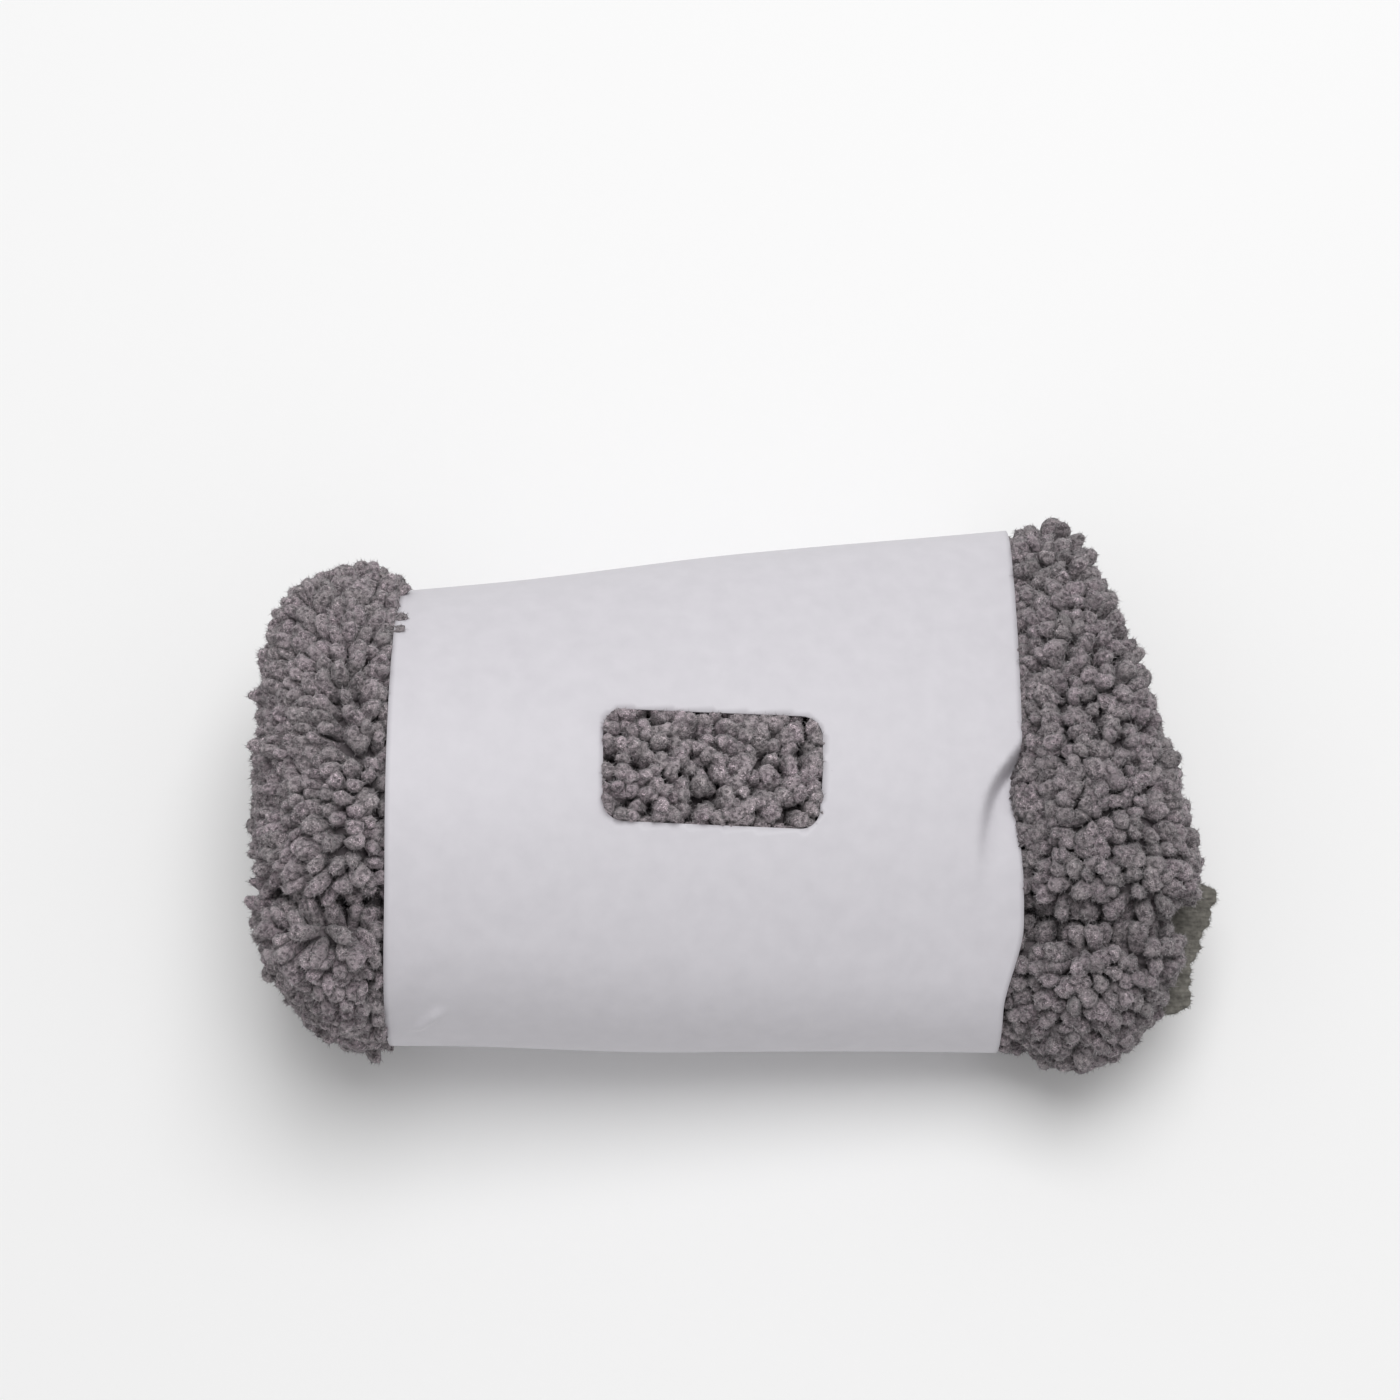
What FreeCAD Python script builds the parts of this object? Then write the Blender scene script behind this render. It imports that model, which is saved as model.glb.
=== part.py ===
"""A bundle of two folded curly-pile fleece articles held by a tapered card sleeve.

The bundle lies on its flat side: +X runs along it to its wide, flat end, +Y to the back, +Z up.
The sleeve is one strip of card wrapped round the bundle, glued where its ends overlap underneath,
with a rounded window cut in its top. It slides off the fleece along X.
"""
import FreeCAD, Part
import math
import os

import Sketcher

DIMENSIONS = {
    # card sleeve: at each end an oval made of a flat underside, two side arcs and a crown arc
    "card_thickness": 0.4,
    "crown_angle": 30.0,        # half the angle that the crown arc spans
    "sleeve_left": -67.2,
    "sleeve_right": 54.3,
    "left_flat": 24.0,
    "left_radius": 34.5,
    "left_middle": -7.2,        # Y of the section's middle
    "right_flat": 66.0,
    "right_middle": 2.2,
    "glue_thickness": 0.1,
    "glue_margin": 2.0,         # bare card round the line of glue
    "flap_width": 18.0,         # width of the overlap that is glued
    "flap_step": 3.0,           # where the inner end steps up over the outer end
    "slit_width": 1.0,
    "window_middle": -5.8,
    "window_back": 7.6,
    "window_front": -14.4,
    "window_length": 42.0,
    "window_corner": 4.0,
    # fleece bundle
    "fleece_inset": 1.3,        # from the sleeve's outside to the fleece inside it
    "bulge_run": 7.0,           # distance over which the fleece swells past each edge of the card
    "left_end": -95.2,
    "left_bulge_flat": 26.0,
    "left_bulge_radius": 37.0,
    "left_bulge_shift": 1.0,    # to the back, from the card section's middle
    "right_end": 90.6,
    "right_bulge_flat": 65.0,
    "right_bulge_radius": 24.0,
    "right_bulge_shift": -1.4,
    "cleft_gap": 0.4,
    "cleft_lean": 0.35,         # the front article tucks under the back one
    "cleft_left": -1.0,         # Y of the cleft at table height, at the left end
    "cleft_right": -21.0,
    # outline from above: Y of its corners, how far they stand in from the right end, and their radii
    "plan_front_left": -57.0,
    "plan_front_left_corner": 34.0,
    "plan_front_right": -55.3,
    "plan_front_right_inset": 15.5,
    "plan_front_right_corner": 18.0,
    "plan_lobe_end": -40.0,
    "plan_lobe_end_inset": 6.4,
    "plan_lobe_end_corner": 6.0,
    "plan_nose": -21.0,
    "plan_nose_corner": 12.0,
    "plan_back_right": 60.3,
    "plan_back_right_inset": 23.8,
    "plan_back_right_corner": 11.0,
    "plan_back_left": 44.0,
    "plan_back_left_corner": 36.0,
    # outline from the front: heights of its upper corners, and all four radii
    "side_left_height": 82.0,
    "side_left_corner": 32.0,
    "side_left_foot": 14.0,
    "side_right_height": 58.0,
    "side_right_corner": 24.0,
    "side_right_foot": 10.0,
    # plain edges of the fabric
    "hem_thickness": 3.0,
    "back_hem_height": 26.0,
    "front_hem_height": 1.0,
}
# the hems' outlines from above: X past an end of the bundle or card, Y, corner radius
BACK_HEM_OUTLINE = ((-20.0, -15.0, 1.0), (-18.0, -40.0, 1.0), (-5.4, -45.6, 1.0), (-1.7, -42.4, 1.0),
                    (-2.6, -38.2, 2.0), (3.3, -23.4, 1.0), (4.0, -21.0, 1.2), (0.5, -18.6, 1.0))
FRONT_HEM_OUTLINE = ((-15.0, -28.0, 1.0), (-4.0, -50.0, 1.0), (-1.0, -28.0, 1.0))
OUTLINE_RUN = 120.0             # how far the construction blocks reach past the bundle

doc = FreeCAD.newDocument("FleeceBundle")
sheet = doc.addObject("Spreadsheet::Sheet", "dims")
for row, (alias, number) in enumerate(DIMENSIONS.items(), start=1):
    sheet.set(f"A{row}", alias)
    sheet.set(f"B{row}", str(number))
    sheet.setAlias(f"B{row}", alias)
doc.recompute()

# the same strip of card goes round both ends, so both ovals have one perimeter
PERIMETER_SHARE = "(1 + dims.crown_angle * pi / 180 / sin(dims.crown_angle))"
RIGHT_RADIUS = f"(dims.left_radius + (dims.left_flat - dims.right_flat) * {PERIMETER_SHARE} / (2 * pi))"


def value(expression):
    """The number that an expression over the sheet gives now."""
    result = sheet.evalExpression(str(expression))
    return float(getattr(result, "Value", result))


def new_body(name):
    return doc.addObject("PartDesign::Body", name)


def new_sketch(body, name, plane, offset):
    """A sketch on one of the body's own origin planes, moved by expressions (x, y, z)."""
    sketch = body.newObject("Sketcher::SketchObject", name)
    base = next(f for f in body.Origin.OriginFeatures if f.Role == plane)
    sketch.AttachmentSupport = [(base, "")]
    sketch.MapMode = "FlatFace"
    for axis, expression in zip("xyz", offset):
        sketch.setExpression(f".AttachmentOffset.Base.{axis}", str(expression))
    return sketch


def bind(sketch, constraint, expression):
    """Add a constraint with a size and tie the size to an expression."""
    number = sketch.addConstraint(Sketcher.Constraint(*constraint, value(expression)))
    sketch.setExpression(f"Constraints[{number}]", str(expression))


def oval(body, name, station, flat, radius, middle, inset, floor="0"):
    """A section of the bundle across X: flat underside, two side arcs and a crown arc."""
    sketch = new_sketch(body, name, "YZ_Plane", (middle, f"{floor} + {inset}", station))
    side = f"({radius} - {inset})"
    crown = f"({flat} / (2 * sin(dims.crown_angle)) + {side})"
    half, side_now, crown_now = value(flat) / 2, value(side), value(crown)
    spread = math.radians(value("dims.crown_angle"))
    quarter = math.pi / 2
    up = FreeCAD.Vector(0, 0, 1)
    crown_centre = FreeCAD.Vector(0, side_now - half / math.tan(spread), 0)

    def arc(centre, size, begin, end):
        return Part.ArcOfCircle(Part.Circle(centre, up, size), begin, end)

    sketch.addGeometry([
        Part.LineSegment(FreeCAD.Vector(-half, 0, 0), FreeCAD.Vector(half, 0, 0)),
        arc(FreeCAD.Vector(half, side_now, 0), side_now, -quarter, quarter - spread),
        arc(crown_centre, crown_now, quarter - spread, quarter + spread),
        arc(FreeCAD.Vector(-half, side_now, 0), side_now, quarter + spread, 3 * quarter),
    ])
    for first in range(4):
        sketch.addConstraint(Sketcher.Constraint("Tangent", first, 2, (first + 1) % 4, 1))
    sketch.addConstraint(Sketcher.Constraint("Symmetric", 0, 1, 0, 2, -1, 1))
    sketch.addConstraint(Sketcher.Constraint("Horizontal", 0))
    sketch.addConstraint(Sketcher.Constraint("Equal", 1, 3))
    bind(sketch, ("Distance", 0), flat)
    bind(sketch, ("Radius", 1), side)
    bind(sketch, ("Radius", 2), crown)
    return sketch


def rounded_outline(sketch, corners):
    """A closed outline of straight sides whose corners (x, y, radius) are rounded off."""
    count = len(corners)
    points = [FreeCAD.Vector(value(x), value(y), 0) for x, y, _ in corners]
    radii = [value(r) for _, _, r in corners]
    begins, ends = [], []
    for i in range(count):
        here = points[i]
        back = (points[i - 1] - here).normalize()
        ahead = (points[(i + 1) % count] - here).normalize()
        cut_back = radii[i] / math.tan(back.getAngle(ahead) / 2)
        ends.append(here + back * cut_back)
        begins.append(here + ahead * cut_back)
    for i in range(count):
        sketch.addGeometry(Part.LineSegment(begins[i], ends[(i + 1) % count]))
    for i in range(count):
        here = points[i]
        middle = (begins[i] + ends[i]) * 0.5
        inward = (middle - here).normalize()
        to_centre = math.hypot(radii[i], (begins[i] - here).Length)
        crest = here + inward * (to_centre - radii[i])
        sketch.addGeometry(Part.Arc(ends[i], crest, begins[i]))
    for i in range(count):
        sketch.addGeometry(Part.Point(points[i]), True)
    for i, (x, y, radius) in enumerate(corners):
        side, before, curve, point = i, (i - 1) % count, count + i, 2 * count + i
        bind(sketch, ("DistanceX", -1, 1, point, 1), x)
        bind(sketch, ("DistanceY", -1, 1, point, 1), y)
        sketch.addConstraint(Sketcher.Constraint("PointOnObject", point, 1, side))
        sketch.addConstraint(Sketcher.Constraint("PointOnObject", point, 1, before))
        for line, line_end in ((before, 2), (side, 1)):
            near_end = line_end == 2
            start, finish = sketch.getPoint(curve, 1), sketch.getPoint(curve, 2)
            target = ends[i] if near_end else begins[i]
            curve_end = 1 if (start - target).Length < (finish - target).Length else 2
            sketch.addConstraint(Sketcher.Constraint("Tangent", line, line_end, curve, curve_end))
        bind(sketch, ("Radius", curve), radius)


def loft(body, name, kind, sketches):
    """A straight-sided loft through the sketches in order."""
    feature = body.newObject(f"PartDesign::{kind}", name)
    feature.Profile = sketches[0]
    feature.Sections = sketches[1:]
    feature.Ruled = True
    return feature


def block(body, name, kind, sketch, length):
    """A pad or pocket of one length along the sketch's normal."""
    feature = body.newObject(f"PartDesign::{kind}", name)
    feature.Profile = sketch
    feature.setExpression("Length", str(length))
    return feature


def make_card_sleeve():
    """One wrapped strip: tapered oval tube, glued overlap underneath, window in the top."""
    body = new_body("card_sleeve")
    ends = (
        ("left", "dims.sleeve_left", "dims.left_flat", "dims.left_radius", "dims.left_middle"),
        ("right", "dims.sleeve_right", "dims.right_flat", RIGHT_RADIUS, "dims.right_middle"),
    )
    for skin, kind, inset in (("outer", "AdditiveLoft", "0"),
                              ("inner", "SubtractiveLoft", "dims.card_thickness")):
        sections = [oval(body, f"{skin}_{end}_section", *sizes, inset) for end, *sizes in ends]
        loft(body, f"{skin}_skin", kind, sections)
    length = "(dims.sleeve_right - dims.sleeve_left)"
    doc.recompute()

    # the strip's inner end lies on the glue, and steps up to it past the outer end
    seam = "((dims.left_middle + dims.right_middle) / 2)"
    front = f"({seam} - dims.flap_width / 2)"
    glued = f"({seam} + dims.flap_width / 2)"
    over = "(dims.card_thickness + dims.glue_thickness)"
    for name, low, high, bottom, top in (
        ("inner_flap", front, f"({glued} + dims.flap_step)", over, f"({over} + dims.card_thickness)"),
        ("flap_step_up", f"({glued} + dims.slit_width)", f"({glued} + dims.flap_step)",
         "dims.card_thickness / 2", over),
    ):
        sketch = new_sketch(body, f"{name}_section", "YZ_Plane", ("0", "0", "dims.sleeve_left"))
        rectangle(sketch, low, high, bottom, top)
        block(body, name, "Pad", sketch, length)
        doc.recompute()

    # the outer end lies flat on the table: a slit parts it from the strip that passes over it
    slit = new_sketch(body, "slit_section", "YZ_Plane", ("0", "0", "dims.sleeve_left"))
    rectangle(slit, front, f"({glued} + dims.slit_width)", "-dims.card_thickness", over)
    cut(body, "slit", slit, length, reverse=True)
    sketch = new_sketch(body, "outer_flap_section", "YZ_Plane", ("0", "0", "dims.sleeve_left"))
    rectangle(sketch, front, glued, "0", "dims.card_thickness")
    block(body, "outer_flap", "Pad", sketch, length)

    window = new_sketch(body, "window_outline", "XY_Plane", ("dims.window_middle", "0", OUTLINE_RUN))
    half = "dims.window_length / 2"
    corner = "dims.window_corner"
    rounded_outline(window, [
        (f"-{half}", "dims.window_front", corner),
        (half, "dims.window_front", corner),
        (half, "dims.window_back", corner),
        (f"-{half}", "dims.window_back", corner),
    ])
    cut(body, "window", window, f"{OUTLINE_RUN} - dims.left_radius", reverse=False)
    return body


def rectangle(sketch, low, high, bottom, top):
    """A rectangle from (low, bottom) to (high, top), each an expression."""
    x0, x1, y0, y1 = (value(e) for e in (low, high, bottom, top))
    corners = [FreeCAD.Vector(x, y, 0) for x, y in ((x0, y0), (x1, y0), (x1, y1), (x0, y1))]
    for i in range(4):
        sketch.addGeometry(Part.LineSegment(corners[i], corners[(i + 1) % 4]))
    for i in range(4):
        sketch.addConstraint(Sketcher.Constraint("Coincident", i, 2, (i + 1) % 4, 1))
    for i, direction in enumerate(("Horizontal", "Vertical", "Horizontal", "Vertical")):
        sketch.addConstraint(Sketcher.Constraint(direction, i))
    bind(sketch, ("DistanceX", -1, 1, 0, 1), low)
    bind(sketch, ("DistanceY", -1, 1, 0, 1), bottom)
    bind(sketch, ("DistanceX", -1, 1, 2, 1), high)
    bind(sketch, ("DistanceY", -1, 1, 2, 1), top)


def cut(body, name, sketch, length, reverse):
    """A pocket that must take material away."""
    doc.recompute()
    before = body.Shape.Volume
    pocket = block(body, name, "Pocket", sketch, length)
    pocket.Reversed = reverse
    doc.recompute()
    if body.Shape.Volume > before - 1.0:
        raise RuntimeError(f"{name} takes nothing away")


def make_glue_strip():
    """The line of glue between the strip's two ends."""
    strip = doc.addObject("Part::Box", "sleeve_glue_strip")
    strip.setExpression("Length", "dims.sleeve_right - dims.sleeve_left - 2 * dims.glue_margin")
    strip.setExpression("Width", "dims.flap_width - 2 * dims.glue_margin")
    strip.setExpression("Height", "dims.glue_thickness")
    strip.setExpression(".Placement.Base.x", "dims.sleeve_left + dims.glue_margin")
    seam_front = "(dims.left_middle + dims.right_middle - dims.flap_width) / 2"
    strip.setExpression(".Placement.Base.y", f"{seam_front} + dims.glue_margin")
    strip.setExpression(".Placement.Base.z", "dims.card_thickness")
    return strip


def make_bundle_form():
    """Both articles as one soft form: lofted sections, trimmed by its outlines from above and beside."""
    sections_body = new_body("form_sections")
    left_bulge = ("dims.left_bulge_flat", "dims.left_bulge_radius",
                  "dims.left_middle + dims.left_bulge_shift", "0")
    right_bulge = ("dims.right_bulge_flat", "dims.right_bulge_radius",
                   "dims.right_middle + dims.right_bulge_shift", "0")
    stations = (
        ("left_far", f"dims.left_end - {OUTLINE_RUN}", *left_bulge),
        ("left_bulge", "dims.sleeve_left - dims.bulge_run", *left_bulge),
        ("left_pinch", "dims.sleeve_left", "dims.left_flat", "dims.left_radius",
         "dims.left_middle", "dims.fleece_inset"),
        ("right_pinch", "dims.sleeve_right", "dims.right_flat", RIGHT_RADIUS,
         "dims.right_middle", "dims.fleece_inset"),
        ("right_bulge", "dims.sleeve_right + dims.bulge_run", *right_bulge),
        ("right_far", f"dims.right_end + {OUTLINE_RUN}", *right_bulge),
    )
    loft(sections_body, "form_loft", "AdditiveLoft",
         [oval(sections_body, f"{name}_section", *sizes) for name, *sizes in stations])

    plan_body = new_body("form_plan")
    plan = new_sketch(plan_body, "plan_outline", "XY_Plane", ("0", "0", "-1"))
    rounded_outline(plan, [
        ("dims.left_end", "dims.plan_front_left", "dims.plan_front_left_corner"),
        ("dims.right_end - dims.plan_front_right_inset", "dims.plan_front_right",
         "dims.plan_front_right_corner"),
        ("dims.right_end - dims.plan_lobe_end_inset", "dims.plan_lobe_end", "dims.plan_lobe_end_corner"),
        ("dims.right_end", "dims.plan_nose", "dims.plan_nose_corner"),
        ("dims.right_end - dims.plan_back_right_inset", "dims.plan_back_right",
         "dims.plan_back_right_corner"),
        ("dims.left_end", "dims.plan_back_left", "dims.plan_back_left_corner"),
    ])
    block(plan_body, "plan_block", "Pad", plan, OUTLINE_RUN)

    side_body = new_body("form_side")
    side = new_sketch(side_body, "side_outline", "XZ_Plane", ("0", "0", f"-{OUTLINE_RUN}"))
    rounded_outline(side, [
        ("dims.left_end", "0", "dims.side_left_foot"),
        ("dims.right_end", "0", "dims.side_right_foot"),
        ("dims.right_end", "dims.side_right_height", "dims.side_right_corner"),
        ("dims.left_end", "dims.side_left_height", "dims.side_left_corner"),
    ])
    block(side_body, "side_block", "Pad", side, 2 * OUTLINE_RUN)

    form = doc.addObject("Part::MultiCommon", "bundle_form")
    form.Shapes = [sections_body, plan_body, side_body]
    return form


def make_roll(name, form, sign):
    """One article's share of the form, on its own side (sign) of the leaning cleft."""
    half = new_body(f"{name}_side")
    sections = []
    for end, station, cleft in (
        ("left", f"dims.left_end - {OUTLINE_RUN}", "dims.cleft_left"),
        ("right", f"dims.right_end + {OUTLINE_RUN}", "dims.cleft_right"),
    ):
        sketch = new_sketch(half, f"{name}_{end}_section", "YZ_Plane", (cleft, "0", station))
        near = f"{sign} * dims.cleft_gap / 2"
        lean = f"dims.cleft_lean * {OUTLINE_RUN}"
        leaning_block(sketch, near, lean, sign)
        sections.append(sketch)
    loft(half, f"{name}_side_loft", "AdditiveLoft", sections)
    roll = doc.addObject("Part::Common", name)
    roll.Base = form
    roll.Tool = half
    return roll


def leaning_block(sketch, near, lean, sign):
    """A four-sided section whose side towards the cleft leans to the front as it rises."""
    floor, top, far = -10.0, OUTLINE_RUN, sign * 2 * OUTLINE_RUN
    foot = value(near) - value(lean) * floor / OUTLINE_RUN
    head = value(near) - value(lean) * top / OUTLINE_RUN
    corners = [FreeCAD.Vector(*p, 0) for p in ((foot, floor), (far, floor), (far, top), (head, top))]
    for i in range(4):
        sketch.addGeometry(Part.LineSegment(corners[i], corners[(i + 1) % 4]))
    for i in range(4):
        sketch.addConstraint(Sketcher.Constraint("Coincident", i, 2, (i + 1) % 4, 1))
    expressions = (
        (f"{near} - {lean} * {floor} / {OUTLINE_RUN}", floor), (far, floor),
        (far, top), (f"{near} - {lean} * {top} / {OUTLINE_RUN}", top),
    )
    for i, (x, y) in enumerate(expressions):
        bind(sketch, ("DistanceX", -1, 1, i, 1), x)
        bind(sketch, ("DistanceY", -1, 1, i, 1), y)


def make_hem(name, form, end, outline):
    """A flat tongue of the fabric's plain knit edge, where it shows past the pile."""
    body = new_body(f"{name}_blank")
    sketch = new_sketch(body, f"{name}_outline", "XY_Plane", (end, "0", f"dims.{name}_height"))
    rounded_outline(sketch, outline)
    block(body, f"{name}_pad", "Pad", sketch, "dims.hem_thickness")
    hem = doc.addObject("Part::Cut", name)
    hem.Base = body
    hem.Tool = form
    return hem


sleeve = make_card_sleeve()
glue_strip = make_glue_strip()
bundle_form = make_bundle_form()
back_roll = make_roll("back_roll", bundle_form, 1)
front_roll = make_roll("front_roll", bundle_form, -1)
back_hem = make_hem("back_hem", bundle_form, "dims.right_end", BACK_HEM_OUTLINE)
front_hem = make_hem("front_hem", bundle_form, "dims.sleeve_left", FRONT_HEM_OUTLINE)
doc.recompute()

for item in doc.Objects:
    if any(word in item.State for word in ("Invalid", "Error")):
        raise RuntimeError(f"{item.Name} failed: {item.State}")

os.makedirs("parts", exist_ok=True)
for part in (sleeve, glue_strip, back_roll, front_roll, back_hem, front_hem):
    part.Label = part.Name
    shape = part.Shape
    if shape.isNull() or not shape.isValid() or len(shape.Solids) != 1:
        raise RuntimeError(f"{part.Label}: not one valid solid")
    shape.exportStep(os.path.join("parts", f"{part.Label}.step"))
    box = shape.optimalBoundingBox(True, False)
    print(f"{part.Label}: {shape.Volume / 1000:.2f} cm3, X {box.XMin:.1f} {box.XMax:.1f}, "
          f"Y {box.YMin:.1f} {box.YMax:.1f}, Z {box.ZMin:.2f} {box.ZMax:.1f}")

girth = value(f"{PERIMETER_SHARE} * dims.left_flat + 2 * pi * dims.left_radius")
print(f"strip goes {girth:.1f} mm round, cut to {girth + value('dims.flap_width'):.1f} mm")
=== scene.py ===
"""Looks for the fleece bundle: curly pile on both articles, and the card sleeve round them."""
import math

import bpy
import numpy as np
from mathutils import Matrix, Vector
from mathutils.bvhtree import BVHTree
from mathutils.geometry import delaunay_2d_cdt


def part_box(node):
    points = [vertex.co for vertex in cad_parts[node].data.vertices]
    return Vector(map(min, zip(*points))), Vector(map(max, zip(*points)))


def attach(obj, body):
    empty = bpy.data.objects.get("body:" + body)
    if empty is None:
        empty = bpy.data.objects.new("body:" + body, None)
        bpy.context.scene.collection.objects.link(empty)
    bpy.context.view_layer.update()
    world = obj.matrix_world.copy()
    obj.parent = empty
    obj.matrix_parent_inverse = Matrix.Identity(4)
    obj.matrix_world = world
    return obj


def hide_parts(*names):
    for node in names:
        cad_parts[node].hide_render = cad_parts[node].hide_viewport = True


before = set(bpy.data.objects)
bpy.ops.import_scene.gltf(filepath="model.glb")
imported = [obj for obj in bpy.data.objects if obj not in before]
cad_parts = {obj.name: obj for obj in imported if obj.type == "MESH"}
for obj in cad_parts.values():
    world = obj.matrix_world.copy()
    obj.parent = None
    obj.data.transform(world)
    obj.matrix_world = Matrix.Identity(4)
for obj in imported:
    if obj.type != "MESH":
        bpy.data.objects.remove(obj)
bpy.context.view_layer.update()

rng = np.random.default_rng(408)
MM = 0.001

# ---------------------------------------------------------------- sizes
CARD = 0.4 * MM
GLUE = 0.1 * MM
CROWN = math.radians(30)            # half the angle of the card section's crown arc
FLAP_HALF = 9 * MM                  # half the width of the glued overlap
FLAP_STEP = 2 * MM                  # run of the step from one layer to the other
WINDOW_LENGTH = 42 * MM
WINDOW_WIDTH = 22 * MM
WINDOW_CORNER = 4 * MM
WINDOW_MIDDLE = Vector((-5.8 * MM, -3.4 * MM))
STRIP_COLUMNS, STRIP_ROWS = 250, 112     # of the card's mesh, round it and along it
FINE_PITCH = 0.7 * MM               # of the extra mesh where the card is folded or creased
RIM_STEP, RIM_CLEARANCE = 1.0 * MM, 0.9 * MM    # of the window's rim, and from it to the rest of the mesh
DENT_Q = -4 * MM                    # where the card's right edge was pinched in
DENT_DEPTH = 5.8 * MM
DENT_HALF_WIDTH = 1.4 * MM          # of the step at its fold
DENT_BEND = 8 * MM                  # how far in from the edge its fold has turned to the front
DENT_REACH = 8.5 * MM               # how far in from the edge it fades
DENT_LENGTH = 16 * MM               # how far to the front it fades
FRONT_SAG = 1.3 * MM                # how far the card is drawn in at its left end, at the front and the back
BACK_SAG = 0.8 * MM
CREASES = (                         # small handling creases: x, q, half length, half width, lean, height
    (-13 * MM, 33 * MM, 4.0 * MM, 0.9 * MM, 0.0, 0.20 * MM),
    (-42 * MM, 38 * MM, 2.2 * MM, 0.9 * MM, 0.2, 0.14 * MM),
    (11 * MM, 39 * MM, 3.0 * MM, 0.9 * MM, 0.7, 0.14 * MM),
    (-60.5 * MM, -48 * MM, 4.4 * MM, 1.3 * MM, 0.9, 1.15 * MM),
)
GROUND_VOXEL = 2.2 * MM             # of the knit grounds' meshes
PILE = 4.6 * MM                     # how far the pile stands up from the knit ground
TUFT_SPACING = 1.9 * MM             # the nearest two roots can be
TUFT_RADIUS = 1.7 * MM
TUFT_ROOT = 0.8 * MM                # how far a tuft starts below the ground's skin
TUFT_KINDS = 14
RINGS = np.array([0.0, 0.24, 0.46, 0.64, 0.78, 0.89, 0.965])    # along a tuft, as shares of its length
SIDES = 10                          # of each ring
TRIES_PER_SPOT = 14                 # random points drawn for each that could be kept
FAN_MIDDLE = np.array([-62, -8]) * MM     # the pile at the left end leans away from here
UP_IN_VIEW = np.array([0.966, 0.259])    # Y and Z of the way that is up in the main view
UNDER_CARD = 0.6 * MM               # the least depth of pile below the card's outside
PROUD_OF_WINDOW = 1.4 * MM          # how high the pile stands above the card in the window
PROUD_AT_CORNER = 1.2 * MM          # and how much higher at the window's front left corner
WINDOW_LIFT, CORNER_LIFT, EDGE_LIFT = 2.4 * MM, 0.9 * MM, 0.5 * MM      # extra pile height
SPILL_HEIGHT, SPILL_RANGE = 1.6 * MM, 1.3 * MM      # tips this high, give or take, hang over the card
FIBRES_PER_TUFT = 60
FIBRE_RADIUS = 0.065 * MM
FIBRE_LENGTHS = (0.35, 1.15)        # mm, shortest and longest
OPEN_REACH = 25 * MM                # pile grows where nothing of either ground is nearer, some way out
HEM_SHOWS = 2.8 * MM                # how much of the back article's plain edge shows past the pile
HEM_VOXEL = 0.5 * MM
HEM_FIBRE_SPACING = 0.32 * MM
HEM_THICKNESS = 0.6                 # as a share of the CAD tongue's
MOST_FACES = 190_000                # in one piece


# ---------------------------------------------------------------- the card's form
def smooth_step(low, high, t):
    """0 before low and 1 past high, with an easy slope between."""
    share = np.clip((t - low) / (high - low), 0, 1)
    return share * share * (3 - 2 * share)


def node_points(name):
    """The vertices of a CAD node."""
    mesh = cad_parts[name].data
    points = np.empty(len(mesh.vertices) * 3)
    mesh.vertices.foreach_get("co", points)
    return points.reshape(-1, 3)


def end_section(points, x):
    """(flat, radius, middle) of the card's oval section at one end, read from its width and height."""
    ring = points[np.abs(points[:, 0] - x) < 0.1 * MM]
    width = np.ptp(ring[:, 1])
    height = ring[:, 2].max()
    flat = (width - height) / (1 - math.tan(CROWN / 2) / 2)
    return np.array([flat, (width - flat) / 2, (ring[:, 1].max() + ring[:, 1].min()) / 2])


card_points = node_points("card_sleeve")
card_low, card_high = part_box("card_sleeve")
LEFT, RIGHT = card_low.x, card_high.x
glue_low, glue_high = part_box("sleeve_glue_strip")
SEAM = (glue_low.y + glue_high.y) / 2
section_left = end_section(card_points, LEFT)
section_right = end_section(card_points, RIGHT)
HALF_GIRTH = (section_left[0] * (1 + CROWN / math.sin(CROWN)) + 2 * math.pi * section_left[1]) / 2


def section_at(x):
    """flat, radius and middle of the card's section at each x, held constant past its ends."""
    share = np.clip((np.asarray(x) - LEFT) / (RIGHT - LEFT), 0, 1)
    return [a + (b - a) * share for a, b in zip(section_left, section_right)]


def card_surface(q, x):
    """Points and outward normals of the card. q runs round the section from its top, + to the back."""
    flat, radius, middle = section_at(x)
    q = q + middle - SEAM
    side, a, half = np.sign(q), np.abs(q), flat / 2
    crown_radius = half / math.sin(CROWN) + radius
    crown_end = CROWN * crown_radius
    side_end = crown_end + radius * (math.pi - CROWN)
    angle = np.where(a < crown_end, a / crown_radius, CROWN + (a - crown_end) / radius)
    angle = np.minimum(angle, math.pi)
    on_crown = a < crown_end
    past = np.maximum(a - side_end, 0)
    y = np.where(on_crown, crown_radius * np.sin(angle), half + radius * np.sin(angle) - past)
    z = np.where(on_crown, radius - half / math.tan(CROWN) + crown_radius * np.cos(angle),
                 radius + radius * np.cos(angle))
    points = np.stack([x, middle + side * y, z], -1)
    normals = np.stack([np.zeros_like(a), side * np.sin(angle), np.cos(angle)], -1)
    return points, normals


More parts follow.
